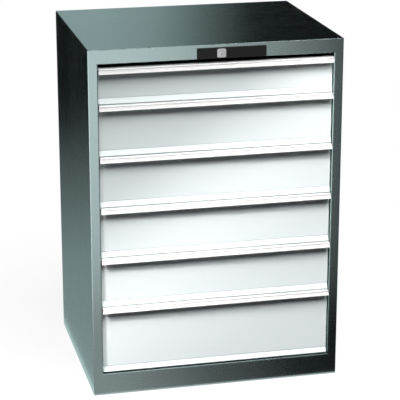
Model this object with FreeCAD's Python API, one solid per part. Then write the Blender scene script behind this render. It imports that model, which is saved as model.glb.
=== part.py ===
import FreeCAD, Part
import math
import os

# Drawer cabinet: a sheet steel housing, six full-width drawers on roller runners, and one
# lock that bars all the drawers. Millimetres. X runs across the front, Y from the front to
# the back, Z up from the floor. While the pieces are drawn, Y counts from the front faces
# of the housing's posts. The last step moves them, so that the origin ends up on the
# floor under the middle of the whole cabinet, handles and screw heads included.

Vector = FreeCAD.Vector

# Housing sizes
housing_width = 717.0
housing_depth = 572.0
header_height = 40.0        # front strip above the drawers
sill_height = 63.0          # front strip below the drawers
post_width = 27.0           # front face of each side panel
post_return = 18.0          # how far the post is folded back into the cabinet
rear_flange = 20.0          # inward fold at the back of each side panel
housing_sheet = 1.5
base_sheet = 2.0
rear_sheet = 1.2
bend_radius = 1.0           # inside radius of every fold in the housing
top_skirt = 6.0             # height of the top panel's down-turned edge
rail_return = 15.0          # depth of the folds behind the header and the sill
base_flange = 30.0          # height of the base plate's folds
seam_clearance = 0.3
overcut = 1.0               # how far a cutting tool runs past what it cuts

# Anchor holes in the base plate
anchor_spacing_x = 500.0
anchor_spacing_y = 400.0
anchor_hole_radius = 5.5

# Drawer fronts, from the top drawer to the bottom one
front_heights = [100.0, 144.0, 144.0, 144.0, 144.0, 196.0]
front_gap = 2.0             # between one front and the next handle
header_gap = 12.0           # between the header and the first handle
sill_gap = 3.0              # between the last front and the sill
front_side_gap = 2.0        # between a front and the posts
front_recess = 10.0         # how far a front lies behind the posts' faces
front_sheet = 1.2
front_bend = 0.5
front_fold = 12.0           # depth of the folds at the top and the foot of a front
foot_height = 16.0          # flared strip at the foot of a front
foot_flare = 5.0            # how far the foot comes forward
groove_depth = 1.0          # crease above the flared foot
groove_height = 1.8

# Handle rail with its label channel
handle_reach = 18.0         # from the front sheet to the rail's lower front edge
handle_slope = 3.0          # how far the rail's face leans back at its top
handle_height = 15.0
handle_web = 2.2
handle_seat = 11.0          # part of the web that lies on the front's top fold
handle_wall = 3.6
handle_corner = 1.2
label_margin = 2.2          # from the face's ends to the label channel
label_lip = 0.6             # overlap of the lips that hold the label cover
label_lip_thickness = 0.5
label_channel_depth = 1.7
label_thickness = 0.3
cover_thickness = 0.7
label_clearance = 0.1

# Drawer trays
tray_depth = 462.0
tray_sheet = 1.0
tray_corner = 2.5
tray_lift = 12.0            # from the foot of the front to the tray's underside
tray_headroom = 20.0        # from the tray's rim to the top of the handle
tray_play = 0.1             # between the tray and the groove of its front
slot_pitch = 34.0           # rows of slots that take the dividers
slot_width = 3.0
slot_margin = 14.0          # plain wall left above and below the slots
drawer_travel = 475.0

# Runners and their roller carriages
rail_sheet = 1.5
rail_bend = 0.6
channel_depth = 9.0
channel_height = 22.0       # clear height inside a runner
runner_setback = 2.0        # from the front upright's edge to the cabinet runner
runner_rear_gap = 44.0      # from the cabinet runner to the rear panel
drawer_runner_setback = 7.0
runner_lift = 17.0          # from the tray's underside to the middle of the runners
carriage_sheet = 3.0
carriage_height = 16.0
carriage_setback = 2.0      # from the cabinet runner's front end to the carriage
carriage_rear_gap = 33.0    # from the carriage to the cabinet runner's rear end
carriage_clearance = 0.5
roller_clearance = 0.3
roller_width = 7.0
roller_chamfer = 0.6
roller_inset = 12.0         # from the carriage's ends to the outer rollers
roller_overrun = 0.2        # runner left beyond a roller when the drawer is fully out

# Uprights that carry the runners
upright_sheet = 1.5
upright_width = 40.0
upright_setback = 2.0       # from the post's fold to the front upright
upright_headroom = 10.0     # from the uprights' tops to the header
hole_pitch = 25.0
hole_size = 8.0
hole_offset = 26.0          # from the upright's front edge to the row of holes

# Lock
lock_x = 10.0
plate_left = -58.5
plate_width = 195.0
plate_height = 30.0
plate_lift = 1.0            # from the header's lower edge
plate_thickness = 3.0
plate_corner = 2.0
plate_edge = 1.0
rosette_size = 25.0
rosette_thickness = 2.5
rosette_corner = 4.0
lock_body_radius = 10.0
lock_body_depth = 15.5      # behind the header's front face
lock_hole_clearance = 0.3
lock_nut_size = 25.0        # across the flats
lock_nut_thickness = 5.0
lock_nut_sides = 6
cylinder_radius = 7.0
cylinder_clearance = 0.05
cylinder_proud = 1.0        # how far the cylinder stands out of the rosette
cylinder_tail = 2.0         # how far it stands out behind the lock body
keyway_width = 2.4
keyway_height = 8.0
keyway_depth = 12.0
crank_radius = 8.5
crank_thickness = 3.0
crank_width = 9.0
crank_pin_radius = 2.5
crank_slot_clearance = 0.7
lock_turn = 90.0            # degrees

# Rod and bar that the lock moves
rod_thickness = 3.0
rod_height = 12.0
rod_gap = 1.0               # between the crank and the rod
rod_end_margin = 13.0       # plate left and right of the crank's slot
rod_plate_height = 21.0
drive_pin_radius = 3.0
drive_clearance = 0.3
drive_margin = 3.0          # plate left round the slanted slot
bar_gap = 3.0               # between the rod and the bar
bar_thickness = 3.0
bar_width = 16.0
bar_tail = 10.0             # bar left below its lower guide
bar_offset = 2.5            # from the upright's web face to the bar
bar_top_margin = 5.0        # bar left above its drive pin
hook_height = 10.0
hook_length = 9.0
hook_clearance = 1.5        # between a lowered hook and the catch pin
catch_pin_radius = 3.0
catch_pin_rise = 16.5       # from the top of the drawer's runner to the pin's axis
catch_pin_play = 1.0        # between a raised hook and the catch pin
catch_pin_gap = 2.5         # between the catch pin's end and the upright
hook_slot_margin = 2.0
guide_length = 12.0
guide_height = 20.0
guide_wall = 4.0
guide_play = 0.3
rod_guide_inset = 70.0      # from the lock and from the drive pin to the rod's guides
hook_guide_gap = 4.5        # from a hook's travel to the bar's guides

# Screws of the rear panel
screw_radius = 2.4
screw_hole_clearance = 0.2
screw_head_radius = 4.6
screw_head_height = 1.8
screw_head_edge = 0.8
screw_length = 8.0
screw_socket_width = 2.6
screw_socket_depth = 1.0
screw_count = 6
screw_end_margin = 50.0
rib_count = 4
rib_width = 26.0
rib_slope = 6.0

# Places that follow from the sizes above
half_width = housing_width / 2
opening_half = half_width - post_width
front_half = opening_half - front_side_gap
drawer_count = len(front_heights)
first_handle_top = sill_height + sill_gap + sum(front_heights) + front_gap * (drawer_count - 1)
header_bottom = first_handle_top + header_gap
housing_height = header_bottom + header_height
panel_top = housing_height - top_skirt
outer_bend = bend_radius + housing_sheet
notch_width = outer_bend + bend_radius
rail_half = opening_half + notch_width
upright_top = header_bottom - upright_headroom
inner_half = half_width - housing_sheet
rear_panel_y = housing_depth - housing_sheet - rear_sheet
front_upright_y = post_return + upright_setback
runner_front = front_upright_y + runner_setback
runner_back = rear_panel_y - runner_rear_gap
rear_upright_y = runner_back - upright_width
tray_half = opening_half - 2 * channel_depth - carriage_sheet - 2 * carriage_clearance
tray_front = front_recess + front_sheet + groove_depth + tray_play
tray_back = tray_front + tray_depth
carriage_outer = opening_half - channel_depth - carriage_clearance
carriage_inner = carriage_outer - carriage_sheet
carriage_front = runner_front + carriage_setback
carriage_back = runner_back - carriage_rear_gap
roller_radius = channel_height / 2 - roller_clearance
roller_reach = drawer_travel / 2 + roller_radius + roller_overrun
lock_z = header_bottom + plate_lift + plate_height / 2
lock_travel = 2 * crank_radius * math.sin(math.radians(lock_turn / 2))
crank_rise = crank_radius * (1 - math.cos(math.radians(lock_turn / 2)))
crank_y = lock_body_depth + cylinder_tail
rod_y = crank_y + crank_thickness + rod_gap
rod_z = lock_z - crank_radius + crank_rise / 2
bar_y = rod_y + rod_thickness + bar_gap
bar_left = opening_half + bar_offset
drive_x = bar_left + drive_pin_radius
drive_z = rod_z - lock_travel / 2
catch_pin_y = bar_y + bar_thickness + catch_pin_play + catch_pin_radius


# Outlines and solids

def outline(points):
    # A closed outline in a plane. Each point is (u, v) or (u, v, radius of its round corner).
    edges = []
    corners = []
    count = len(points)
    for index in range(count):
        here = Vector(points[index][0], points[index][1], 0)
        radius = points[index][2] if len(points[index]) > 2 else 0.0
        before = Vector(points[index - 1][0], points[index - 1][1], 0)
        after = Vector(points[(index + 1) % count][0], points[(index + 1) % count][1], 0)
        way_in = (here - before).normalize()
        way_out = (after - here).normalize()
        turn = way_in.getAngle(way_out)
        if radius > 0 and turn > 0.001:
            reach = radius * math.tan(turn / 2)
            start = here - way_in * reach
            end = here + way_out * reach
            inward = (way_out - way_in).normalize()
            centre = here + inward * (radius / math.cos(turn / 2))
            middle = centre - inward * radius
            corners.append((start, middle, end))
        else:
            corners.append((here, None, here))
    for index in range(count):
        start, middle, end = corners[index]
        if middle is not None:
            edges.append(Part.Arc(start, middle, end).toShape())
        following = corners[(index + 1) % count][0]
        if end.distanceToPoint(following) > 0.0001:
            edges.append(Part.LineSegment(end, following).toShape())
    return Part.Wire(edges)


def bent_strip(points, sheet, inner_radius):
    # The outline of a folded sheet, from the points of its middle line.
    left = []
    right = []
    last = len(points) - 1
    for index in range(last + 1):
        here = Vector(points[index][0], points[index][1], 0)
        before = Vector(*points[max(index - 1, 0)])
        after = Vector(*points[min(index + 1, last)])
        way_in = (here - before).normalize() if index > 0 else (after - here).normalize()
        way_out = (after - here).normalize() if index < last else way_in
        normal_in = Vector(-way_in.y, way_in.x, 0)
        normal_out = Vector(-way_out.y, way_out.x, 0)
        mitre = (normal_in + normal_out) * (sheet / 2 / (1 + normal_in.dot(normal_out)))
        turn = way_in.x * way_out.y - way_in.y * way_out.x
        left_radius = 0.0
        right_radius = 0.0
        if turn > 0.001:
            left_radius = inner_radius
            right_radius = inner_radius + sheet
        elif turn < -0.001:
            left_radius = inner_radius + sheet
            right_radius = inner_radius
        left.append((here.x + mitre.x, here.y + mitre.y, left_radius))
        right.append((here.x - mitre.x, here.y - mitre.y, right_radius))
    return left + right[::-1]


def along_x(points, start, end):
    # A solid of constant section across the cabinet. The points are (y, z).
    face = Part.Face(outline(points))
    face.rotate(Vector(0, 0, 0), Vector(1, 1, 1), 120)
    face.translate(Vector(start, 0, 0))
    return face.extrude(Vector(end - start, 0, 0))


def along_y(points, start, end):
    # A solid of constant section from front to back. The points are (x, z).
    face = Part.Face(outline(points))
    face.rotate(Vector(0, 0, 0), Vector(1, 0, 0), 90)
    face.translate(Vector(0, start, 0))
    return face.extrude(Vector(0, end - start, 0))


def along_z(points, start, end):
    # A solid of constant section from the floor up. The points are (x, y).
    face = Part.Face(outline(points))
    face.translate(Vector(0, 0, start))
    return face.extrude(Vector(0, 0, end - start))


def block(x_low, x_high, y_low, y_high, z_low, z_high):
    return Part.makeBox(x_high - x_low, y_high - y_low, z_high - z_low, Vector(x_low, y_low, z_low))


def disc_y(radius, x, z, start, end):
    return Part.makeCylinder(radius, end - start, Vector(x, start, z), Vector(0, 1, 0))


def disc_x(radius, y, z, start, end):
    return Part.makeCylinder(radius, end - start, Vector(start, y, z), Vector(1, 0, 0))


def mirrored(shape):
    return shape.mirror(Vector(0, 0, 0), Vector(1, 0, 0))


def rounded(shape, radius, wanted):
    edges = [edge for edge in shape.Edges if wanted(edge)]
    return shape.makeFillet(radius, edges)


def is_upright(edge):
    return edge.BoundBox.ZLength > edge.BoundBox.XLength + edge.BoundBox.YLength


def lies_at_z(edge, height):
    return abs(edge.BoundBox.ZMin - height) < 0.001 and abs(edge.BoundBox.ZMax - height) < 0.001


def lies_at_y(edge, depth):
    return abs(edge.BoundBox.YMin - depth) < 0.001 and abs(edge.BoundBox.YMax - depth) < 0.001


def spread(count, low, high):
    return [low + (high - low) * index / (count - 1) for index in range(count)]


# Drawer heights

def handle_top(drawer):
    above = front_heights[:drawer]
    return first_handle_top - sum(above) - front_gap * len(above)


def front_foot(drawer):
    return handle_top(drawer) - front_heights[drawer]


def tray_underside(drawer):
    return front_foot(drawer) + tray_lift


def tray_rim(drawer):
    return handle_top(drawer) - tray_headroom


def runner_middle(drawer):
    return tray_underside(drawer) + runner_lift


def catch_pin_z(drawer):
    return runner_middle(drawer) + channel_height / 2 + rail_sheet + catch_pin_rise


def hook_top(drawer):
    return catch_pin_z(drawer) - catch_pin_radius - hook_clearance


# Housing

def screw_heights():
    return spread(screw_count, screw_end_margin, panel_top - screw_end_margin)


def screw_holes(side):
    radius = screw_radius + screw_hole_clearance
    x = side * (half_width - rear_flange / 2)
    start = rear_panel_y - rear_sheet
    return [disc_y(radius, x, z, start, housing_depth + housing_sheet) for z in screw_heights()]


def side_panel():
    # The right-hand panel: post, side and rear flange in one folded sheet.
    middle = housing_sheet / 2
    side_x = half_width - middle
    post_x = opening_half + middle
    rear_y = housing_depth - middle
    points = [
        (post_x, post_return),
        (post_x, middle),
        (side_x, middle),
        (side_x, rear_y),
        (half_width - rear_flange, rear_y),
    ]
    panel = along_z(bent_strip(points, housing_sheet, bend_radius), 0, panel_top)
    notch_low = block(opening_half, rail_half, 0, post_return, 0, sill_height)
    notch_high = block(opening_half, rail_half, 0, post_return, header_bottom, panel_top)
    return panel.cut([notch_low, notch_high] + screw_holes(1))


def top_panel():
    shell = block(-half_width, half_width, 0, housing_depth, panel_top, housing_height)
    shell = rounded(shell, outer_bend, lambda e: is_upright(e) or lies_at_z(e, housing_height))
    hollow_top = housing_height - housing_sheet
    hollow = block(
        -inner_half, inner_half,
        housing_sheet, housing_depth - housing_sheet,
        panel_top - top_skirt, hollow_top,
    )
    hollow = rounded(hollow, bend_radius, lambda e: is_upright(e) or lies_at_z(e, hollow_top))
    return shell.cut(hollow)


def base_plate():
    middle = base_sheet / 2
    front = outer_bend
    points = [
        (front + middle, base_flange),
        (front + middle, middle),
        (rear_panel_y - middle, middle),
        (rear_panel_y - middle, base_flange),
    ]
    plate = along_x(bent_strip(points, base_sheet, bend_radius), -inner_half, inner_half)
    holes = []
    for x in (-anchor_spacing_x / 2, anchor_spacing_x / 2):
        for y in (-anchor_spacing_y / 2, anchor_spacing_y / 2):
            place = Vector(x, housing_depth / 2 + y, -base_sheet)
            holes.append(Part.makeCylinder(anchor_hole_radius, 3 * base_sheet, place))
    return plate.cut(holes)


def header_rail():
    middle = housing_sheet / 2
    points = [
        (rail_return, header_bottom + middle),
        (middle, header_bottom + middle),
        (middle, panel_top),
    ]
    rail = along_x(bent_strip(points, housing_sheet, bend_radius), -rail_half, rail_half)
    hole_radius = lock_body_radius + lock_hole_clearance
    return rail.cut(disc_y(hole_radius, lock_x, lock_z, -housing_sheet, 2 * housing_sheet))


def sill_rail():
    middle = housing_sheet / 2
    points = [(middle, 0), (middle, sill_height - middle), (rail_return, sill_height - middle)]
    return along_x(bent_strip(points, housing_sheet, bend_radius), -rail_half, rail_half)


def rear_panel():
    # A flat sheet with pressed ribs that reach the rear flanges' outer faces.
    middle = rear_panel_y + rear_sheet / 2
    half = inner_half - bend_radius - seam_clearance
    rib_field = half - rear_flange - rib_width
    points = [(-half, middle)]
    for x in spread(rib_count, -rib_field, rib_field):
        points.append((x - rib_width / 2, middle))
        points.append((x - rib_width / 2 + rib_slope, middle + housing_sheet))
        points.append((x + rib_width / 2 - rib_slope, middle + housing_sheet))
        points.append((x + rib_width / 2, middle))
    points.append((half, middle))
    panel = along_z(bent_strip(points, rear_sheet, bend_radius), 0, panel_top)
    return panel.cut(screw_holes(1) + screw_holes(-1))


def rear_panel_screws():
    screws = []
    for side in (1, -1):
        x = side * (half_width - rear_flange / 2)
        for z in screw_heights():
            head_end = housing_depth + screw_head_height
            head = disc_y(screw_head_radius, x, z, housing_depth, head_end)
            head = rounded(head, screw_head_edge, lambda e: lies_at_y(e, head_end))
            shank = disc_y(screw_radius, x, z, head_end - screw_length, housing_depth)
            half_socket = screw_socket_width / 2
            socket = block(
                x - half_socket, x + half_socket,
                head_end - screw_socket_depth, head_end + screw_head_height,
                z - half_socket, z + half_socket,
            )
            screws.append(head.fuse(shank).cut(socket).removeSplitter())
    return Part.makeCompound(screws)


def hook_slots():
    slots = []
    for drawer in range(drawer_count):
        low = hook_top(drawer) - hook_height - hook_slot_margin
        high = hook_top(drawer) + lock_travel + hook_slot_margin
        slots.append(block(
            opening_half - upright_sheet, opening_half + 2 * upright_sheet,
            bar_y - hook_slot_margin, bar_y + bar_thickness + hook_slot_margin,
            low, high,
        ))
    return slots


def upright(front, with_hook_slots):
    # A right-hand upright: a channel that is open towards the side panel, with a row of
    # square holes, on which the runners hang.
    middle = upright_sheet / 2
    web_x = opening_half + middle
    points = [
        (inner_half, front + middle),
        (web_x, front + middle),
        (web_x, front + upright_width - middle),
        (inner_half, front + upright_width - middle),
    ]
    channel = along_z(bent_strip(points, upright_sheet, bend_radius), base_sheet, upright_top)
    tools = hook_slots() if with_hook_slots else []
    height = base_sheet + hole_pitch
    while height < upright_top - hole_size:
        tools.append(block(
            opening_half - upright_sheet, opening_half + 2 * upright_sheet,
            front + hole_offset, front + hole_offset + hole_size,
            height - hole_size / 2, height + hole_size / 2,
        ))
        height += hole_pitch
    return channel.cut(tools)


def uprights_front():
    left = mirrored(upright(front_upright_y, False))
    return Part.makeCompound([left, upright(front_upright_y, True)])


def uprights_rear():
    right = upright(rear_upright_y, False)
    return Part.makeCompound([mirrored(right), right])


# Runners

def runner(web_x, tip_x, drawer, start, end):
    reach = channel_height / 2 + rail_sheet / 2
    centre = runner_middle(drawer)
    points = [
        (tip_x, centre + reach),
        (web_x, centre + reach),
        (web_x, centre - reach),
        (tip_x, centre - reach),
    ]
    return along_y(bent_strip(points, rail_sheet, rail_bend), start, end)


def cabinet_runners():
    # The right-hand runners, one for each drawer.
    runners = []
    for drawer in range(drawer_count):
        web_x = opening_half - rail_sheet / 2
        tip_x = opening_half - channel_depth
        runners.append(runner(web_x, tip_x, drawer, runner_front, runner_back))
    return Part.makeCompound(runners)


def drawer_runners(drawer):
    web_x = tray_half + rail_sheet / 2
    tip_x = tray_half + channel_depth
    right = runner(web_x, tip_x, drawer, tray_front + drawer_runner_setback, tray_back)
    return Part.makeCompound([mirrored(right), right])


def roller(y, z, start, end):
    wheel = disc_x(roller_radius, y, z, start, end)
    return wheel.makeChamfer(roller_chamfer, [e for e in wheel.Edges if len(e.Vertexes) == 1])


def carriages(drawer):
    # Each carriage is a bar between the two runners of one side. Its front rollers run in
    # the drawer's runner and its rear rollers in the cabinet's runner.
    z = runner_middle(drawer)
    bar_points = [
        (carriage_front, z - carriage_height / 2, rail_sheet),
        (carriage_back, z - carriage_height / 2, rail_sheet),
        (carriage_back, z + carriage_height / 2, rail_sheet),
        (carriage_front, z + carriage_height / 2, rail_sheet),
    ]
    solids = [along_x(bar_points, carriage_inner, carriage_outer)]
    for y in (carriage_front + roller_inset, tray_back - roller_reach):
        solids.append(roller(y, z, carriage_inner - roller_width, carriage_inner))
    for y in (runner_front + roller_reach, carriage_back - roller_inset):
        solids.append(roller(y, z, carriage_outer, carriage_outer + roller_width))
    return Part.makeCompound([mirrored(solid) for solid in solids] + solids)


# Drawers

def tray(drawer):
    # An open box with slots for dividers in its four walls. The second solid is the pin
    # that the lock's hook catches.
    low = tray_underside(drawer)
    high = tray_rim(drawer)
    shell = block(-tray_half, tray_half, tray_front, tray_back, low, high)
    shell = rounded(shell, tray_corner, lambda e: is_upright(e) or lies_at_z(e, low))
    floor = low + tray_sheet
    hollow = block(
        -tray_half + tray_sheet, tray_half - tray_sheet,
        tray_front + tray_sheet, tray_back - tray_sheet,
        floor, high + tray_sheet,
    )
    inner_corner = tray_corner - tray_sheet
    hollow = rounded(hollow, inner_corner, lambda e: is_upright(e) or lies_at_z(e, floor))
    slot_low = low + slot_margin
    slot_high = high - slot_margin
    slots = []
    half = slot_width / 2
    across = tray_half + overcut
    before = tray_front - overcut
    behind = tray_back + overcut
    for place in slot_places(tray_depth):
        y = (tray_front + tray_back) / 2 + place
        slots.append(block(-across, across, y - half, y + half, slot_low, slot_high))
    for place in slot_places(2 * tray_half):
        slots.append(block(place - half, place + half, before, behind, slot_low, slot_high))
    pin_end = opening_half - catch_pin_gap
    pin = disc_x(catch_pin_radius, catch_pin_y, catch_pin_z(drawer), tray_half, pin_end)
    return Part.makeCompound([shell.cut([hollow] + slots), pin])


def slot_places(length):
    count = int((length - 2 * slot_pitch) / slot_pitch) + 1
    return [slot_pitch * (index - (count - 1) / 2) for index in range(count)]


def drawer_front(drawer):
    # One folded sheet: top fold, face, groove, flared foot and bottom fold.
    top = handle_top(drawer) - handle_web
    foot = front_foot(drawer)
    middle = front_sheet / 2
    face = front_recess + middle
    crease = foot + foot_height
    points = [
        (face + front_fold, top - middle),
        (face, top - middle),
        (face, crease + groove_height),
        (face + groove_depth, crease),
        (face - foot_flare, foot + middle),
        (face + front_fold, foot + middle),
    ]
    return along_x(bent_strip(points, front_sheet, front_bend), -front_half, front_half)


class HandleSection:
    # The rail's section, with places counted down its leaning face and out from it.
    def __init__(self, drawer):
        self.top = handle_top(drawer)
        self.upper = Vector(front_recess - handle_reach + handle_slope, self.top, 0)
        lower = Vector(front_recess - handle_reach, self.top - handle_height, 0)
        self.length = self.upper.distanceToPoint(lower)
        self.down = (lower - self.upper).normalize()
        self.out = Vector(self.down.y, -self.down.x, 0)

    def place(self, down, out, radius=0.0):
        point = self.upper + self.down * down + self.out * out
        return (point.x, point.y, radius)

    def strip(self, deep, thickness):
        low = label_margin + label_clearance
        high = self.length - label_margin - label_clearance
        return [
            self.place(low, -deep),
            self.place(high, -deep),
            self.place(high, -deep + thickness),
            self.place(low, -deep + thickness),
        ]


def handle(drawer):
    section = HandleSection(drawer)
    start = label_margin
    end = section.length - label_margin
    back = front_recess + handle_seat
    under = section.top - handle_web
    down_to_web = (under - section.top - section.out.y * -handle_wall) / section.down.y
    points = [
        (back, section.top),
        section.place(0, 0, handle_corner),
        section.place(start + label_lip, 0),
        section.place(start + label_lip, -label_lip_thickness),
        section.place(start, -label_lip_thickness),
        section.place(start, -label_channel_depth),
        section.place(end, -label_channel_depth),
        section.place(end, -label_lip_thickness),
        section.place(end - label_lip, -label_lip_thickness),
        section.place(end - label_lip, 0),
        section.place(section.length, 0, handle_corner),
        section.place(section.length, -handle_wall, handle_corner),
        section.place(down_to_web, -handle_wall, handle_corner),
        (back, under),
    ]
    return along_x(points, -front_half, front_half)


def label_strip(drawer):
    deep = label_channel_depth
    return along_x(HandleSection(drawer).strip(deep, label_thickness), -front_half, front_half)


def label_cover(drawer):
    deep = label_lip_thickness + label_clearance + cover_thickness
    return along_x(HandleSection(drawer).strip(deep, cover_thickness), -front_half, front_half)


# Lock

def plate_box():
    low = header_bottom + plate_lift
    return plate_left, plate_left + plate_width, low, low + plate_height


def lock_plate():
    left, right, low, high = plate_box()
    points = [
        (left, low, plate_corner),
        (right, low, plate_corner),
        (right, high, plate_corner),
        (left, high, plate_corner),
    ]
    plate = along_y(points, -plate_thickness, 0)
    plate = rounded(plate, plate_edge, lambda e: lies_at_y(e, -plate_thickness))
    hole_radius = lock_body_radius + lock_hole_clearance
    return plate.cut(disc_y(hole_radius, lock_x, lock_z, -2 * plate_thickness, plate_thickness))


def lock_housing():
    # The rosette with the lock body behind it, and the nut that holds it in the header.
    half = rosette_size / 2
    points = [
        (lock_x - half, lock_z - half, rosette_corner),
        (lock_x + half, lock_z - half, rosette_corner),
        (lock_x + half, lock_z + half, rosette_corner),
        (lock_x - half, lock_z + half, rosette_corner),
    ]
    face = -plate_thickness - rosette_thickness
    rosette = along_y(points, face, -plate_thickness)
    rosette = rounded(rosette, plate_edge, lambda e: lies_at_y(e, face))
    body = disc_y(lock_body_radius, lock_x, lock_z, -plate_thickness, lock_body_depth)
    bore_radius = cylinder_radius + cylinder_clearance
    bore = disc_y(bore_radius, lock_x, lock_z, face - overcut, lock_body_depth + overcut)
    nut_points = []
    reach = lock_nut_size / 2 / math.cos(math.pi / lock_nut_sides)
    for corner in range(lock_nut_sides):
        angle = 2 * math.pi * corner / lock_nut_sides
        nut_points.append((lock_x + reach * math.cos(angle), lock_z + reach * math.sin(angle)))
    nut = along_y(nut_points, housing_sheet, housing_sheet + lock_nut_thickness)
    nut_bore = disc_y(lock_body_radius + cylinder_clearance, lock_x, lock_z, 0, lock_body_depth)
    return Part.makeCompound([rosette.fuse(body).cut(bore), nut.cut(nut_bore)])


def crank_pin_place():
    angle = math.radians(lock_turn / 2)
    return lock_x + crank_radius * math.sin(angle), lock_z - crank_radius * math.cos(angle)


def lock_cylinder():
    # The cylinder with its keyway, and the crank on its tail.
    front = -plate_thickness - rosette_thickness - cylinder_proud
    core = disc_y(cylinder_radius, lock_x, lock_z, front, crank_y)
    core = rounded(core, cylinder_proud / 2, lambda e: lies_at_y(e, front) and len(e.Vertexes) == 1)
    keyway = block(
        lock_x - keyway_width / 2, lock_x + keyway_width / 2,
        front - overcut, front + keyway_depth,
        lock_z - keyway_height / 2, lock_z + keyway_height / 2,
    )
    pin_x, pin_z = crank_pin_place()
    crank_end = crank_y + crank_thickness
    hub = disc_y(cylinder_radius, lock_x, lock_z, crank_y, crank_end)
    tip = disc_y(crank_width / 2, pin_x, pin_z, crank_y, crank_end)
    arm = block(
        lock_x - crank_width / 2, lock_x + crank_width / 2,
        crank_y, crank_end,
        lock_z - crank_radius, lock_z,
    )
    arm.rotate(Vector(lock_x, 0, lock_z), Vector(0, 1, 0), -lock_turn / 2)
    pin_end = rod_y + rod_thickness + rod_gap
    pin = disc_y(crank_pin_radius, pin_x, pin_z, crank_end, pin_end)
    return core.cut(keyway).fuse([hub, arm, tip, pin]).removeSplitter()


def lock_rod():
    # A flat rod behind the header. The crank moves it sideways, and its slanted slot lifts
    # the locking bar.
    pin_x, pin_z = crank_pin_place()
    rod_end = rod_y + rod_thickness
    slot_half = crank_pin_radius + crank_slot_clearance
    head = block(
        pin_x - rod_end_margin, pin_x + rod_end_margin,
        rod_y, rod_end,
        rod_z - rod_plate_height / 2, rod_z + rod_plate_height / 2,
    )
    slot_low = lock_z - crank_radius
    front = rod_y - overcut
    back = rod_end + overcut
    crank_slot = block(pin_x - slot_half, pin_x + slot_half, front, back, slot_low, pin_z)
    slot_ends = [disc_y(slot_half, pin_x, z, front, back) for z in (slot_low, pin_z)]
    drive_half = drive_pin_radius + drive_clearance
    frame = drive_half + drive_margin
    tail = block(
        drive_x - frame, drive_x + lock_travel + frame,
        rod_y, rod_end,
        drive_z - frame, drive_z + lock_travel + frame,
    )
    rod = block(pin_x, drive_x, rod_y, rod_end, rod_z - rod_height / 2, rod_z + rod_height / 2)
    slot_length = lock_travel * math.sqrt(2)
    slanted = block(
        drive_x, drive_x + slot_length,
        front, back,
        drive_z - drive_half, drive_z + drive_half,
    )
    slanted.rotate(Vector(drive_x, 0, drive_z), Vector(0, 1, 0), -45)
    drive_ends = [
        disc_y(drive_half, drive_x, drive_z, front, back),
        disc_y(drive_half, drive_x + lock_travel, drive_z + lock_travel, front, back),
    ]
    solid = rod.fuse([head, tail]).removeSplitter()
    return solid.cut([crank_slot, slanted] + slot_ends + drive_ends)


def locking_bar():
    # A flat bar in the right front upright, with one hook welded on for each drawer and
    # the drive pin riveted to its upper end.
    bar_end = bar_y + bar_thickness
    bar_high = drive_z + drive_pin_radius + bar_top_margin
    bar = block(bar_left, bar_left + bar_width, bar_y, bar_end, lower_guide() - bar_tail, bar_high)
    hooks = []
    for drawer in range(drawer_count):
        high = hook_top(drawer)
        hooks.append(block(bar_left - hook_length, bar_left, bar_y, bar_end, high - hook_height, high))
    pin = disc_y(drive_pin_radius, drive_x, drive_z, rod_y - rod_gap / 2, bar_y)
    return Part.makeCompound([bar] + hooks + [pin])


def lower_guide():
    return hook_top(drawer_count - 1) - hook_height - hook_guide_gap - guide_height


def upper_guide():
    return hook_top(0) + lock_travel + hook_guide_gap


def lock_guides():
    # Two blocks that carry the rod on the header's fold, and two that guide the bar.
    guides = []
    rod_low = header_bottom + housing_sheet
    rod_end = rod_y + rod_thickness
    for x in (lock_x + rod_guide_inset, drive_x - rod_guide_inset):
        body = block(
            x - guide_length / 2, x + guide_length / 2,
            outer_bend, rod_end + guide_wall,
            rod_low, rod_z + rod_height / 2 + guide_wall,
        )
        window = block(
            x - guide_length, x + guide_length,
            rod_y - guide_play, rod_end + guide_play,
            rod_z - rod_height / 2 - guide_play, rod_z + rod_height / 2 + guide_play,
        )
        guides.append(body.cut(window))
    for low in (lower_guide(), upper_guide()):
        body = block(
            opening_half + upright_sheet, inner_half,
            bar_y - guide_wall, bar_y + bar_thickness + guide_wall,
            low, low + guide_height,
        )
        window = block(
            bar_left - guide_play, bar_left + bar_width + guide_play,
            bar_y - guide_play, bar_y + bar_thickness + guide_play,
            low - overcut, low + guide_height + overcut,
        )
        guides.append(body.cut(window))
    return Part.makeCompound(guides)


# Assembly and export

def housing_pieces():
    right_panel = side_panel()
    right_runners = cabinet_runners()
    return {
        "side_panel_right": right_panel,
        "side_panel_left": mirrored(right_panel),
        "top_panel": top_panel(),
        "base_plate": base_plate(),
        "rear_panel": rear_panel(),
        "rear_panel_screws": rear_panel_screws(),
        "header_rail": header_rail(),
        "sill_rail": sill_rail(),
        "uprights_front": uprights_front(),
        "uprights_rear": uprights_rear(),
        "cabinet_runners_right": right_runners,
        "cabinet_runners_left": mirrored(right_runners),
    }


def lock_pieces():
    return {
        "lock_plate": lock_plate(),
        "lock_housing": lock_housing(),
        "lock_cylinder": lock_cylinder(),
        "lock_rod": lock_rod(),
        "locking_bar": locking_bar(),
        "lock_guides": lock_guides(),
    }


def drawer_pieces(drawer):
    name = "drawer_" + str(drawer + 1)
    return {
        name + "_tray": tray(drawer),
        name + "_front": drawer_front(drawer),
        name + "_handle": handle(drawer),
        name + "_label": label_strip(drawer),
        name + "_label_cover": label_cover(drawer),
        name + "_runners": drawer_runners(drawer),
        name + "_carriages": carriages(drawer),
    }


def all_pieces():
    made = housing_pieces()
    made.update(lock_pieces())
    for drawer in range(drawer_count):
        made.update(drawer_pieces(drawer))
    return made


def export(name, shape, shift):
    placed = shape.copy()
    placed.translate(Vector(0, shift, 0))
    placed.exportStep("parts/" + name + ".step")
    litres = placed.Volume / 1e6
    print(name, len(placed.Solids), "solids,", round(litres, 5), "litres,", placed.isValid())


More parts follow.
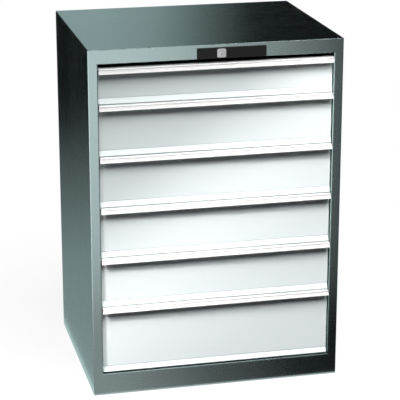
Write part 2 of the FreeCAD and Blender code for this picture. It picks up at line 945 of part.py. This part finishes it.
os.makedirs("parts", exist_ok=True)
pieces = all_pieces()
foremost = min(piece.BoundBox.YMin for piece in pieces.values())
rearmost = max(piece.BoundBox.YMax for piece in pieces.values())
origin_y = (foremost + rearmost) / 2
for piece_name in pieces:
    export(piece_name, pieces[piece_name], -origin_y)
print("origin", round(origin_y, 4), "mm behind the posts' front faces")
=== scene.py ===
import math

import bpy
from mathutils import Matrix, Vector


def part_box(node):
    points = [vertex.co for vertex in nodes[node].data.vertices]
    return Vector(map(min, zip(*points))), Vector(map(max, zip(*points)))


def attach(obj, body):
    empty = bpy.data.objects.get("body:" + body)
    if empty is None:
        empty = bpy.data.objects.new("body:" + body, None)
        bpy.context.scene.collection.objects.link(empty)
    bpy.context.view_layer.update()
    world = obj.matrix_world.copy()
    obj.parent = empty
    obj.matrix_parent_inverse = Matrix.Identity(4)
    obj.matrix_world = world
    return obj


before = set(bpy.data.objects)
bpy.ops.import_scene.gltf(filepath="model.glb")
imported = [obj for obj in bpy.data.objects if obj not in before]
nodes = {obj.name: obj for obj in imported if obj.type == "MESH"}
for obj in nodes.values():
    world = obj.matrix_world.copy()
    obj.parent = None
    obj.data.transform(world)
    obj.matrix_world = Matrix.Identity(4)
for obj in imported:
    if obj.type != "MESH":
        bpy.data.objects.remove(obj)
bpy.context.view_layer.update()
scene = bpy.context.scene
scene.view_settings.view_transform = "Standard"
drawerNames = ["drawer_%d" % number for number in range(1, 7)]
print("frame loaded:", len(nodes), "nodes")


class Wire:
    # A node's output. Sums, differences and products of wires add Math nodes to their graph.
    def __init__(self, graph, socket):
        self.graph = graph
        self.socket = socket

    def withOther(self, operation, first, second):
        return self.graph.node("ShaderNodeMath", {"operation": operation}, {0: first, 1: second})

    def __add__(self, other):
        return self.withOther("ADD", self, other)

    def __radd__(self, other):
        return self.withOther("ADD", other, self)

    def __sub__(self, other):
        return self.withOther("SUBTRACT", self, other)

    def __rsub__(self, other):
        return self.withOther("SUBTRACT", other, self)

    def __mul__(self, other):
        return self.withOther("MULTIPLY", self, other)

    def __rmul__(self, other):
        return self.withOther("MULTIPLY", other, self)


class Graph:
    # A node tree that is filled through one method.
    def __init__(self, tree):
        self.tree = tree
        tree.nodes.clear()

    def node(self, kind, settings=None, inputs=None, output=0):
        # settings are set first; inputs are values, wires, or a list of wires to join
        made = self.tree.nodes.new(kind)
        for key, value in (settings or {}).items():
            if key == "stops":
                ramp = made.color_ramp.elements
                for index, (place, grey) in enumerate(value):
                    stop = ramp[index] if index < 2 else ramp.new(place)
                    stop.position = place
                    stop.color = (grey, grey, grey, 1)
            else:
                setattr(made, key, value)
        for key, value in (inputs or {}).items():
            if isinstance(value, Wire):
                self.tree.links.new(value.socket, made.inputs[key])
            elif isinstance(value, list):
                for wire in reversed(value):        # the last link comes first in the join
                    self.tree.links.new(wire.socket, made.inputs[key])
            else:
                made.inputs[key].default_value = value
        if isinstance(output, tuple):
            return [Wire(self, made.outputs[key]) for key in output]
        return Wire(self, made.outputs[output]) if made.outputs else None

    def noise(self, place, scale, detail):
        # scale is in cells per metre, as one number or as three along X, Y and Z
        if isinstance(scale, tuple):
            place = self.node("ShaderNodeMapping", None, {"Vector": place, "Scale": scale})
            scale = 1.0
        sizes = {"Vector": place, "Scale": scale, "Detail": detail}
        return self.node("ShaderNodeTexNoise", None, sizes)

    def toned(self, colour, tone):
        # colour made lighter or darker by tone, which is 1 on average. Sockets 6 and 7 are the
        # two colours, and output 2 is theirs.
        settings = {"data_type": "RGBA", "blend_type": "MULTIPLY"}
        return self.node("ShaderNodeMix", settings, {0: 1.0, 6: (*colour, 1), 7: tone}, 2)

    def bump(self, height, strength, reach):
        sizes = {"Strength": strength, "Distance": reach, "Height": height}
        return self.node("ShaderNodeBump", None, sizes)

    def mixed(self, share, first, second):
        return self.node("ShaderNodeMixShader", None, {0: share, 1: first, 2: second})


def newMaterial(name):
    material = bpy.data.materials.new(name)
    material.use_nodes = True
    graph = Graph(material.node_tree)
    place = graph.node("ShaderNodeTexCoord", None, None, "Object")
    return material, graph, place


def closeMaterial(graph, surface):
    graph.node("ShaderNodeOutputMaterial", None, {"Surface": surface})


# Camera

cameraLook = {
    "place": (-1.0584, -4.5882, 1.9495),
    "yaw": 0.2301,                  # to the right of straight ahead, in radians
    "pitch": 0.3043,                # downwards, in radians
    "lens": 149.9,                  # in millimetres, as the sensor's width
    "sensor": 36.0,
    "farthest": 200.0,
}


def addCamera(look):
    data = bpy.data.cameras.new("camera")
    data.sensor_width = look["sensor"]
    data.lens = look["lens"]
    data.clip_end = look["farthest"]
    camera = bpy.data.objects.new("camera", data)
    camera.location = look["place"]
    camera.rotation_euler = (math.pi / 2 - look["pitch"], 0, -look["yaw"])
    scene.collection.objects.link(camera)
    scene.camera = camera


addCamera(cameraLook)


# Studio: floor, world, lamps and the graded cards that the metal reflects

white = (1.0, 1.0, 1.0, 1.0)

floorLook = {
    "size": 60.0,
    "drop": 0.0006,                 # the floor lies this far under the sheet edges
    "colour": (0.03, 0.03, 0.03),   # for rays that light the object
    "shownColour": (0.95, 0.95, 0.95),
    "plainWhite": 0.88,             # share of plain white where the floor is seen directly
}

skyLook = {
    "low": 0.0,                     # world light near the horizon
    "high": 0.10,                   # world light from straight above
    "rise": (0.1, 0.9),             # it grows between these, where 1 is straight up
    "tint": (0.94, 1.0, 1.0),
}


def seenDirectly(graph):
    # 1 for rays that show the surface itself: to the camera, in gloss or through glass
    camera, glossy, through = graph.node(
        "ShaderNodeLightPath", None, None,
        ("Is Camera Ray", "Is Glossy Ray", "Is Transmission Ray"),
    )
    settings = {"operation": "ADD", "use_clamp": True}
    return graph.node("ShaderNodeMath", settings, {0: camera + glossy, 1: through})


def addSheet(name, corners):
    mesh = bpy.data.meshes.new(name)
    mesh.from_pydata(corners, [], [(0, 1, 2, 3)])
    sheet = bpy.data.objects.new(name, mesh)
    scene.collection.objects.link(sheet)
    return sheet


def flatCorners(z, left, right, front, back):
    return [(left, front, z), (right, front, z), (right, back, z), (left, back, z)]


def uprightCorners(y, left, right, low, high):
    return [(left, y, low), (right, y, low), (right, y, high), (left, y, high)]


def addFloor(look):
    half = look["size"] / 2
    floor = addSheet("floor", flatCorners(-look["drop"], -half, half, -half, half))
    material, graph, _ = newMaterial("floor")
    pale = graph.node("ShaderNodeBsdfDiffuse", None, {"Color": (*look["colour"], 1)})
    plain = graph.node("ShaderNodeEmission", None, {"Color": white, "Strength": 1.0})
    bright = graph.node("ShaderNodeBsdfDiffuse", None, {"Color": (*look["shownColour"], 1)})
    shown = graph.mixed(look["plainWhite"], bright, plain)
    closeMaterial(graph, graph.mixed(seenDirectly(graph), pale, shown))
    floor.data.materials.append(material)


def addWorld(look):
    world = bpy.data.worlds.new("studio")
    world.use_nodes = True
    scene.world = world
    graph = Graph(world.node_tree)
    direction = graph.node("ShaderNodeTexCoord", None, None, "Generated")
    height = graph.node("ShaderNodeSeparateXYZ", None, {0: direction}, "Z")
    level = graph.node("ShaderNodeMapRange", {"interpolation_type": "SMOOTHSTEP"}, {
        "Value": height,
        "From Min": look["rise"][0], "From Max": look["rise"][1],
        "To Min": look["low"], "To Max": look["high"],
    })
    tinted = {"Color": (*look["tint"], 1), "Strength": level}
    soft = graph.node("ShaderNodeBackground", None, tinted)
    plain = graph.node("ShaderNodeBackground", None, {"Color": white, "Strength": 1.0})
    shown = graph.mixed(seenDirectly(graph), soft, plain)
    graph.node("ShaderNodeOutputWorld", None, {"Surface": shown})


sunLook = {"from": (0.10, -0.50, 0.86), "strength": 3.6, "angle": 36.0}


def addSun(look):
    # A wide soft sun. The metal's gloss comes from the cards, so it doesn't see the sun.
    data = bpy.data.lights.new("keySun", "SUN")
    data.energy = look["strength"]
    data.angle = math.radians(look["angle"])
    lamp = bpy.data.objects.new("keySun", data)
    lamp.rotation_euler = (-Vector(look["from"])).to_track_quat("-Z", "Y").to_euler()
    lamp.visible_glossy = False
    scene.collection.objects.link(lamp)


# The beams come from the upper left in front of the cabinet. "middle" is where a beam meets
# the fronts and "way" points from there to its lamp. The lamp's long side lies "along" the band
# of light that rises to the right across the fronts, or from left to right for the corner.
beamTint = (1.0, 0.93, 0.935)
beamWay = (-0.587, -0.407, 0.700)
bandWay = (0.766, 0.0, 0.643)
beamLooks = {
    "bandBeam": {
        "middle": (0.02, -0.273, 0.50), "distance": 1.3, "way": beamWay, "along": bandWay,
        "size": (2.2, 0.02), "spread": 12.0, "power": 0.88,
    },
    "lowerBeam": {
        "middle": (0.27, -0.273, 0.15), "distance": 1.3, "way": beamWay, "along": bandWay,
        "size": (2.2, 0.60), "spread": 40.0, "power": 4.1,
    },
    "cornerBeam": {
        "middle": (0.46, -0.273, 0.90), "distance": 1.4,
        "way": (-0.40, -0.72, 0.56), "along": (1.0, 0.0, 0.0),
        "size": (0.50, 0.02), "spread": 12.0, "power": 0.085,
    },
}


def addBeam(name, look):
    data = bpy.data.lights.new(name, "AREA")
    data.shape = "RECTANGLE"
    data.size, data.size_y = look["size"]
    data.spread = math.radians(look["spread"])
    data.energy = look["power"]
    data.color = beamTint
    lamp = bpy.data.objects.new(name, data)
    outward = Vector(look["way"]).normalized()
    along = Vector(look["along"])
    along = (along - along.dot(outward) * outward).normalized()
    turned = Matrix((along, outward.cross(along), outward)).transposed().to_4x4()
    place = Vector(look["middle"]) + outward * look["distance"]
    lamp.matrix_world = Matrix.Translation(place) @ turned
    lamp.visible_glossy = False
    lamp.visible_camera = False
    scene.collection.objects.link(lamp)


# Each card is a graded sheet that only gloss sees. A grade is an axis, the two places on it
# between which the level changes, and the stops: how far along, and the level there. Where a
# card has two grades, their levels are multiplied. The bright left ends of the two front
# cards show in the fold of the left post alone.
cardReach = 4.0                     # the cards end this far to the left and right
cardLift = 0.001                    # height of the cards that lie on the floor
frontPlane = -0.95
backPlane = 0.9
farFront = -3.5                     # the ceiling and left cards start here
footLine = -0.29                    # the two floor cards meet here, along the cabinet's front
topLevel = 1.02                     # just over the cabinet's top
edgeLevel = 2.4                     # the card above shows in the fold of the top's front edge
ceiling = 3.2
cardLooks = {
    "frontCard": {
        "corners": uprightCorners(frontPlane, -cardReach, cardReach, 0.0, edgeLevel),
        "grades": [
            ("Z", 0.0, 2.4, [
                (0.0, 0.62), (0.119, 0.97), (0.3125, 1.15), (0.425, 1.05), (0.625, 0.6),
                (1.0, 0.6),
            ]),
            ("X", -1.7, 0.7, [
                (0.0, 3.8), (0.167, 3.2), (0.333, 1.25), (0.583, 1.25), (0.675, 1.2),
                (0.771, 0.82), (0.85, 0.56), (0.917, 0.30), (0.958, 0.11), (1.0, 0.02),
            ]),
        ],
    },
    "topEdgeCard": {
        "corners": uprightCorners(frontPlane, -cardReach, cardReach, edgeLevel, ceiling),
        "grades": [("X", -0.4, 1.0, [(0.0, 6.0), (1.0, 9.0)])],
    },
    "frontFloorCard": {
        "corners": flatCorners(cardLift, -cardReach, cardReach, frontPlane, footLine),
        "grades": [
            ("X", -1.9, 0.5, [
                (0.0, 3.6), (0.33, 3.6), (0.46, 0.60), (0.667, 0.60), (0.80, 0.19),
                (0.90, 0.03), (1.0, 0.0),
            ]),
        ],
    },
    "topCard": {
        "corners": uprightCorners(backPlane, -cardReach, cardReach, topLevel, ceiling),
        "grades": [
            ("X", -0.75, 0.5, [
                (0.0, 0.0), (0.24, 0.2), (0.38, 0.60), (0.52, 0.58), (0.66, 0.46),
                (0.80, 0.18), (0.92, 0.01), (1.0, 0.0),
            ]),
        ],
    },
    "sideCard": {
        "corners": uprightCorners(backPlane, -cardReach, -0.33, 0.0, topLevel),
        "grades": [
            ("Z", 0.0, 0.75, [(0.0, 0.37), (0.3, 0.20), (0.50, 0.10), (0.66, 0.02), (0.8, 0.0)]),
        ],
    },
    "sideFloorCard": {
        "corners": flatCorners(cardLift, -cardReach, -0.37, footLine, backPlane),
        "grades": [("Y", -0.3, 0.9, [(0.0, 0.48), (1.0, 0.37)])],
    },
    "ceilingCard": {
        "corners": flatCorners(ceiling, -cardReach, cardReach, farFront, 3.0),
        "grades": [("Y", 0.0, 1.0, [(0.0, 0.14), (1.0, 0.02)])],
    },
    "leftCard": {
        "corners": [
            (-cardReach, farFront, 0.0), (-cardReach, backPlane, 0.0),
            (-cardReach, backPlane, ceiling), (-cardReach, farFront, ceiling),
        ],
        "grades": [("Z", 0.0, 2.0, [(0.0, 0.3), (1.0, 0.06)])],
    },
}


def graded(graph, place, grade):
    axis, low, high, stops = grade
    along = graph.node("ShaderNodeSeparateXYZ", None, {0: place}, axis)
    ends = {"Value": along, "From Min": low, "From Max": high}
    share = graph.node("ShaderNodeMapRange", None, ends)
    highest = max(level for _, level in stops)
    settings = {"stops": [(stop, level / highest) for stop, level in stops]}
    return graph.node("ShaderNodeValToRGB", settings, {0: share}) * highest


def addCard(name, look):
    card = addSheet(name, look["corners"])
    material, graph, place = newMaterial(name)
    level = math.prod(graded(graph, place, grade) for grade in look["grades"])
    glow = graph.node("ShaderNodeEmission", None, {"Color": level, "Strength": 1.0})
    closeMaterial(graph, glow)
    card.data.materials.append(material)
    card.visible_camera = False
    card.visible_diffuse = False
    card.visible_transmission = False
    card.visible_shadow = False


addFloor(floorLook)
addWorld(skyLook)
addSun(sunLook)
for beamName, beamLook in beamLooks.items():
    addBeam(beamName, beamLook)
for cardName, cardLook in cardLooks.items():
    addCard(cardName, cardLook)
print("studio ready")


# Finishes. Sizes and reaches are in metres, and scales in cells per metre. A tone, roughness
# or alpha that varies is given by its whole swing.

def varied(pattern, swing, middle=0.5):
    # a pattern turned into a swing round zero
    return (pattern - middle) * swing


def closeFinish(graph, sockets):
    closeMaterial(graph, graph.node("ShaderNodeBsdfPrincipled", None, sockets))


coatLook = {                        # what the three powder coats share
    "driftScale": 5.0, "driftDetail": 3.0, "grainDetail": 1.0, "peelDetail": 1.5,
    "grainHeight": 0.3, "peelReach": 0.001, "driftRoughness": 0.08, "peelRoughness": 0.05,
}
paintLooks = {
    "framePaint": {
        "colour": (0.305, 0.388, 0.386), "edgeTint": (0.78, 0.99, 0.98),
        "metallic": 1.0, "roughness": 0.27, "specular": 0.5,
        "drift": 0.06, "grain": 0.16, "grainSize": 0.0005,
        "peelSize": 0.0028, "peelDepth": 0.10,
    },
    "frontPaint": {
        "colour": (0.69, 0.76, 0.762), "edgeTint": (1.0, 1.0, 1.0),
        "metallic": 0.0, "roughness": 0.48, "specular": 0.14,
        "drift": 0.015, "grain": 0.03, "grainSize": 0.0005,
        "peelSize": 0.0024, "peelDepth": 0.08,
    },
    "trayPaint": {
        "colour": (0.34, 0.38, 0.38), "edgeTint": (1.0, 1.0, 1.0),
        "metallic": 0.0, "roughness": 0.48, "specular": 0.4,
        "drift": 0.03, "grain": 0.05, "grainSize": 0.0006,
        "peelSize": 0.003, "peelDepth": 0.12,
    },
}


def paint(name, look, coat):
    # Powder coat: a fine grain in the tone, a slow drift, and the orange peel of the melt.
    material, graph, place = newMaterial(name)
    drift = graph.noise(place, coat["driftScale"], coat["driftDetail"])
    grain = graph.noise(place, 1 / look["grainSize"], coat["grainDetail"])
    peel = graph.noise(place, 1 / look["peelSize"], coat["peelDetail"])
    height = peel + grain * coat["grainHeight"]
    tone = 1 + varied(drift, look["drift"]) + varied(grain, look["grain"])
    rough = look["roughness"] + varied(drift, coat["driftRoughness"])
    closeFinish(graph, {
        "Base Color": graph.toned(look["colour"], tone),
        "Metallic": look["metallic"],
        "Roughness": rough + varied(peel, coat["peelRoughness"]),
        "Specular IOR Level": look["specular"],
        "Specular Tint": (*look["edgeTint"], 1),
        "Normal": graph.bump(height, look["peelDepth"], coat["peelReach"]),
    })
    return material


aluminiumLook = {
    "colour": (0.90, 0.91, 0.91), "metallic": 0.5, "roughness": 0.38,
    "lineScale": (2.5, 1400.0, 1400.0), "lineDetail": 3.0,
    "lines": 0.10, "lineRoughness": 0.2, "lineDepth": 0.06, "lineReach": 0.0005,
    "hazeScale": 18.0, "hazeDetail": 2.0, "haze": 0.03,
}


def aluminium(look):
    # Anodised extrusion with die lines along its length.
    material, graph, place = newMaterial("handleAluminium")
    lines = graph.noise(place, look["lineScale"], look["lineDetail"])
    haze = graph.noise(place, look["hazeScale"], look["hazeDetail"])
    tone = 1 + varied(lines, look["lines"]) + varied(haze, look["haze"])
    closeFinish(graph, {
        "Base Color": graph.toned(look["colour"], tone),
        "Metallic": look["metallic"],
        "Roughness": look["roughness"] + varied(lines, look["lineRoughness"]),
        "Normal": graph.bump(lines, look["lineDepth"], look["lineReach"]),
    })
    return material


paperLook = {
    "colour": (0.93, 0.93, 0.925), "roughness": 0.85,
    "fibreScale": (1800.0, 900.0, 2600.0), "fibreDetail": 4.0,
    "fibres": 0.05, "fibreDepth": 0.15, "fibreReach": 0.0003,
    "cloudScale": 120.0, "cloudDetail": 3.0, "clouds": 0.02,
}


def paper(look):
    material, graph, place = newMaterial("labelPaper")
    fibres = graph.noise(place, look["fibreScale"], look["fibreDetail"])
    clouds = graph.noise(place, look["cloudScale"], look["cloudDetail"])
    tone = 1 + varied(fibres, look["fibres"]) + varied(clouds, look["clouds"])
    closeFinish(graph, {
        "Base Color": graph.toned(look["colour"], tone),
        "Roughness": look["roughness"],
        "Normal": graph.bump(fibres, look["fibreDepth"], look["fibreReach"]),
    })
    return material


coverLook = {
    "colour": (0.97, 0.98, 0.98), "alpha": 0.16, "roughness": 0.08,
    "hazeScale": 35.0, "hazeDetail": 4.0, "hazeAlpha": 0.10, "hazeTone": 0.03,
    "scuffScale": (40.0, 900.0, 900.0), "scuffDetail": 3.0, "scuffRoughness": 0.08,
}


def clearCover(look):
    # Thin clear strip: mostly see-through, with its gloss and a little haze from handling.
    material, graph, place = newMaterial("clearCover")
    haze = graph.noise(place, look["hazeScale"], look["hazeDetail"])
    scuffs = graph.noise(place, look["scuffScale"], look["scuffDetail"])
    closeFinish(graph, {
        "Base Color": graph.toned(look["colour"], 1 + varied(haze, look["hazeTone"])),
        "Alpha": look["alpha"] + varied(haze, look["hazeAlpha"]),
        "Roughness": look["roughness"] + scuffs * look["scuffRoughness"],
    })
    return material


plateLook = {
    "colour": (0.008, 0.0081, 0.0083), "roughness": 0.46, "specular": 0.2,
    "cellSize": 0.00055, "cellDepth": 0.35, "cellReach": 0.0002,
    "cellMiddle": 0.4, "cellRoughness": 0.05,
    "wearScale": 60.0, "wearDetail": 3.0, "wear": 0.25, "wearRoughness": 0.12,
}


def lockPlatePlastic(look):
    # Moulded black plastic with a fine spark-eroded grain.
    material, graph, place = newMaterial("lockPlatePlastic")
    sizes = {"Vector": place, "Scale": 1 / look["cellSize"]}
    cells = graph.node("ShaderNodeTexVoronoi", None, sizes)
    wear = graph.noise(place, look["wearScale"], look["wearDetail"])
    rough = look["roughness"] + varied(wear, look["wearRoughness"])
    closeFinish(graph, {
        "Base Color": graph.toned(look["colour"], 1 + varied(wear, look["wear"])),
        "Roughness": rough + varied(cells, look["cellRoughness"], look["cellMiddle"]),
        "Specular IOR Level": look["specular"],
        "Normal": graph.bump(cells, look["cellDepth"], look["cellReach"]),
    })
    return material


nickelLook = {
    "colour": (0.50, 0.50, 0.51), "roughness": 0.20,
    "axis": (0.010, -0.2875, 0.976),        # a point on the lock's axis, which runs along Y
    "across": (1, 0, 1),                    # keeps only the distance from that axis
    "ringScale": 6000.0, "ringDetail": 2.0,
    "rings": 0.14, "ringRoughness": 0.12, "ringDepth": 0.08, "ringReach": 0.0002,
    "smudgeScale": 160.0, "smudgeDetail": 3.0, "smudge": 0.08, "smudgeRoughness": 0.10,
}


def nickel(look):
    # Nickel plate, turned and polished: the brushing runs round the lock's axis.
    material, graph, place = newMaterial("lockNickel")
    subtract = {"operation": "SUBTRACT"}
    multiply = {"operation": "MULTIPLY"}
    centred = graph.node("ShaderNodeVectorMath", subtract, {0: place, 1: look["axis"]})
    flat = graph.node("ShaderNodeVectorMath", multiply, {0: centred, 1: look["across"]})
    radius = graph.node("ShaderNodeVectorMath", {"operation": "LENGTH"}, {0: flat}, "Value")
    sizes = {"W": radius * look["ringScale"], "Detail": look["ringDetail"]}
    rings = graph.node("ShaderNodeTexNoise", {"noise_dimensions": "1D"}, sizes)
    smudge = graph.noise(place, look["smudgeScale"], look["smudgeDetail"])
    tone = 1 + varied(rings, look["rings"]) + varied(smudge, look["smudge"])
    rough = look["roughness"] + varied(rings, look["ringRoughness"])
    closeFinish(graph, {
        "Base Color": graph.toned(look["colour"], tone),
        "Metallic": 1.0,
        "Roughness": rough + varied(smudge, look["smudgeRoughness"]),
        "Normal": graph.bump(rings, look["ringDepth"], look["ringReach"]),
    })
    return material


zincLook = {
    "colour": (0.60, 0.62, 0.63), "roughness": 0.36,
    "spangleSize": 0.010, "spangle": 0.16, "spangleRoughness": 0.14, "spangleHeight": 0.4,
    "lineScale": (900.0, 14.0, 900.0), "lineDetail": 2.0,
    "lines": 0.08, "lineRoughness": 0.06, "lineDepth": 0.06, "lineReach": 0.0004,
}


def zincSteel(look):
    # Zinc plated sheet with its spangle and fine rolling lines.
    material, graph, place = newMaterial("zincSteel")
    sizes = {"Vector": place, "Scale": 1 / look["spangleSize"]}
    crystals = graph.node("ShaderNodeTexVoronoi", None, sizes, "Color")
    shade = graph.node("ShaderNodeSeparateColor", None, {0: crystals})
    lines = graph.noise(place, look["lineScale"], look["lineDetail"])
    tone = 1 + varied(shade, look["spangle"]) + varied(lines, look["lines"])
    rough = look["roughness"] + varied(shade, look["spangleRoughness"])
    height = lines + shade * look["spangleHeight"]
    closeFinish(graph, {
        "Base Color": graph.toned(look["colour"], tone),
        "Metallic": 1.0,
        "Roughness": rough + varied(lines, look["lineRoughness"]),
        "Normal": graph.bump(height, look["lineDepth"], look["lineReach"]),
    })
    return material


finishes = {
    "frame_paint": paint("framePaint", paintLooks["framePaint"], coatLook),
    "front_paint": paint("frontPaint", paintLooks["frontPaint"], coatLook),
    "tray_paint": paint("trayPaint", paintLooks["trayPaint"], coatLook),
    "handle_aluminium": aluminium(aluminiumLook),
    "label_paper": paper(paperLook),
    "clear_cover": clearCover(coverLook),
    "lock_plate_plastic": lockPlatePlastic(plateLook),
    "lock_chrome": nickel(nickelLook),
    "zinc_steel": zincSteel(zincLook),
}
for node in nodes.values():
    for slotIndex, packed in enumerate(node.data.materials):
        node.data.materials[slotIndex] = finishes[packed.name.split(".")[0]]
print("finishes on", len(nodes), "nodes")


# Pieces made with Geometry Nodes

def newGeometryGraph(name, sizeNames):
    # A tree with one named input for each size. Gives the tree, its points, its sizes as wires
    # and the identifiers that a modifier sets them by.
    tree = bpy.data.node_groups.new(name, "GeometryNodeTree")
    face = tree.interface
    face.new_socket("Geometry", in_out="INPUT", socket_type="NodeSocketGeometry")
    identifiers = {}
    for size in sizeNames:
        made = face.new_socket(size, in_out="INPUT", socket_type="NodeSocketFloat")
        identifiers[size] = made.identifier
    face.new_socket("Geometry", in_out="OUTPUT", socket_type="NodeSocketGeometry")
    graph = Graph(tree)
    points, *wires = graph.node("NodeGroupInput", None, None, ("Geometry", *sizeNames))
    return graph, points, dict(zip(sizeNames, wires)), identifiers


def closeGeometryGraph(graph, geometry, material):
    real = graph.node("GeometryNodeRealizeInstances", None, {0: geometry})
    dressed = graph.node("GeometryNodeSetMaterial", None, {0: real, "Material": material})
    graph.node("NodeGroupOutput", None, {0: dressed})


def filleted(graph, curve, radius, count):
    sizes = {"Curve": curve, "Radius": radius, "Count": count}
    return graph.node("GeometryNodeFilletCurve", {"mode": "POLY"}, sizes)


def grown(name, points, graph, identifiers, sizes, body):
    # Runs the tree on a few points, keeps the result as a plain mesh and lets it ride.
    seed = bpy.data.meshes.new(name + "Seed")
    seed.from_pydata(points, [], [])
    piece = bpy.data.objects.new(name, seed)
    scene.collection.objects.link(piece)
    modifier = piece.modifiers.new("grow", "NODES")
    modifier.node_group = graph.tree
    for size, identifier in identifiers.items():
        modifier[identifier] = sizes[size]
    bpy.context.view_layer.update()
    evaluated = piece.evaluated_get(bpy.context.evaluated_depsgraph_get())
    mesh = bpy.data.meshes.new_from_object(evaluated)
    piece.modifiers.clear()
    piece.data = mesh
    bpy.data.meshes.remove(seed)
    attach(piece, body)


# Rivets of the rollers: a domed head on the carriage's bar, and a lower cap with a ring
# on the roller

headLook = {"radius": 0.0034, "height": 0.0011}
capLook = {"radius": 0.0030, "height": 0.0006, "ring": 0.0046, "wire": 0.0004}
rivetFacets = {"dome": 20, "domeRings": 10, "ring": 24, "wire": 6}
carriageLook = {
    "inner": 0.319, "outer": 0.322,           # faces of the bar, from the middle of the cabinet
    "rollerWidth": 0.007,
    "innerPlaces": (-0.24701, -0.05721),      # rollers in the drawer's runner
    "outerPlaces": (-0.01261, 0.19729),       # rollers in the cabinet's runner
}


def rivetGraph(look):
    # A ball of radius 1 flattened to its height, and a ring round it where the look has one.
    graph, points, sizes, identifiers = newGeometryGraph("rollerRivets", tuple(look))
    ball = graph.node("GeometryNodeMeshUVSphere", None, {
        "Segments": rivetFacets["dome"], "Rings": rivetFacets["domeRings"], "Radius": 1.0,
    })
    scale = {0: sizes["height"], 1: sizes["radius"], 2: sizes["radius"]}
    flat = graph.node("ShaderNodeCombineXYZ", None, scale)
    shape = graph.node("GeometryNodeTransform", None, {"Geometry": ball, "Scale": flat})
    if "ring" in look:
        circle = {"Resolution": rivetFacets["ring"], "Radius": sizes["ring"]}
        section = {"Resolution": rivetFacets["wire"], "Radius": sizes["wire"]}
        torus = graph.node("GeometryNodeCurveToMesh", None, {
            "Curve": graph.node("GeometryNodeCurvePrimitiveCircle", None, circle),
            "Profile Curve": graph.node("GeometryNodeCurvePrimitiveCircle", None, section),
        })
        turn = {"Geometry": torus, "Rotation": (0, math.pi / 2, 0)}
        upright = graph.node("GeometryNodeTransform", None, turn)
        shape = graph.node("GeometryNodeJoinGeometry", None, {0: [shape, upright]})
    placed = {"Points": points, "Instance": shape}
    spread = graph.node("GeometryNodeInstanceOnPoints", None, placed)
    real = graph.node("GeometryNodeRealizeInstances", None, {0: spread})
    smoothed = graph.node("GeometryNodeSetShadeSmooth", None, {"Geometry": real})
    closeGeometryGraph(graph, smoothed, finishes["zinc_steel"])
    return graph, identifiers


def addRivets(look):
    headGraph, headInputs = rivetGraph(headLook)
    capGraph, capInputs = rivetGraph(capLook)
    innerCap = look["inner"] - look["rollerWidth"]
    outerCap = look["outer"] + look["rollerWidth"]
    for name in drawerNames:
        low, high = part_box(name + "_carriages")
        z = (low.z + high.z) / 2
        heads = []
        caps = []
        for side in (-1, 1):
            for y in look["innerPlaces"]:
                heads.append((side * look["outer"], y, z))
                caps.append((side * innerCap, y, z))
            for y in look["outerPlaces"]:
                heads.append((side * look["inner"], y, z))
                caps.append((side * outerCap, y, z))
        body = name + "_carriage"
        rivets = name + "_carriage_rivets"
        grown(rivets, heads, headGraph, headInputs, headLook, body)
        grown(name + "_roller_caps", caps, capGraph, capInputs, capLook, body)


addRivets(carriageLook)
print("rivets and roller caps on", len(drawerNames), "carriages")


# Folded rims of the trays

rimLook = {
    "height": 0.006, "thickness": 0.0022, "corner": 0.0025,
    "roundShare": 0.45,                       # how round the rim's own edges are
    "lift": 0.0006,                           # over the sheet's edge
    "sheetMiddle": 0.0005,                    # middle of the tray's sheet of 1 mm
    "facets": 4,                              # in each rounded corner
}


def rimGraph(look):
    # A folded rim that follows the tray's rounded outline.
    names = ("width", "depth", "corner", "height", "thickness")
    graph, points, sizes, identifiers = newGeometryGraph("trayRim", names)
    oblong = "GeometryNodeCurvePrimitiveQuadrilateral"
    outline = graph.node(oblong, None, {"Width": sizes["width"], "Height": sizes["depth"]})
    section = graph.node(oblong, None, {"Width": sizes["thickness"], "Height": sizes["height"]})
    softness = sizes["thickness"] * look["roundShare"]
    rim = graph.node("GeometryNodeCurveToMesh", None, {
        "Curve": filleted(graph, outline, sizes["corner"], look["facets"]),
        "Profile Curve": filleted(graph, section, softness, look["facets"]),
    })
    spread = graph.node("GeometryNodeInstanceOnPoints", None, {"Points": points, "Instance": rim})
    closeGeometryGraph(graph, spread, finishes["tray_paint"])
    return graph, identifiers


def addRims(look):
    graph, identifiers = rimGraph(look)
    for name in drawerNames:
        low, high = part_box(name + "_tray")
        right = -low.x                        # the catch pin widens the box on the right
        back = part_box(name + "_runners")[1].y
        centre = (0, (low.y + back) / 2, high.z - look["height"] / 2 + look["lift"])
        sizes = {
            "width": 2 * (right - look["sheetMiddle"]),
            "depth": back - low.y - 2 * look["sheetMiddle"],
            "corner": look["corner"], "height": look["height"], "thickness": look["thickness"],
        }
        grown(name + "_rim", [centre], graph, identifiers, sizes, name)


addRims(rimLook)
print("folded rims on", len(drawerNames), "trays")


# Spring wafers in the keyway

waferLook = {
    "count": 6, "first": -0.2868, "pitch": 0.0018,
    "stagger": 0.0006,                        # they stand this far left and right in turn
    "size": {"width": 0.0012, "thickness": 0.0006, "height": 0.0054},
}


def addWafers(look):
    graph, points, sizes, identifiers = newGeometryGraph("keywayWafers", tuple(look["size"]))
    lengths = {0: sizes["width"], 1: sizes["thickness"], 2: sizes["height"]}
    size = graph.node("ShaderNodeCombineXYZ", None, lengths)
    leaf = graph.node("GeometryNodeMeshCube", None, {"Size": size})
    spread = graph.node("GeometryNodeInstanceOnPoints", None, {"Points": points, "Instance": leaf})
    closeGeometryGraph(graph, spread, finishes["lock_chrome"])
    x, _, z = nickelLook["axis"]
    places = []
    for index in range(look["count"]):
        shift = look["stagger"] if index % 2 else -look["stagger"]
        places.append((x + shift, look["first"] + index * look["pitch"], z))
    lock = "lock_cylinder"
    grown("keyway_wafers", places, graph, identifiers, look["size"], lock)


addWafers(waferLook)
print("wafers in the keyway")
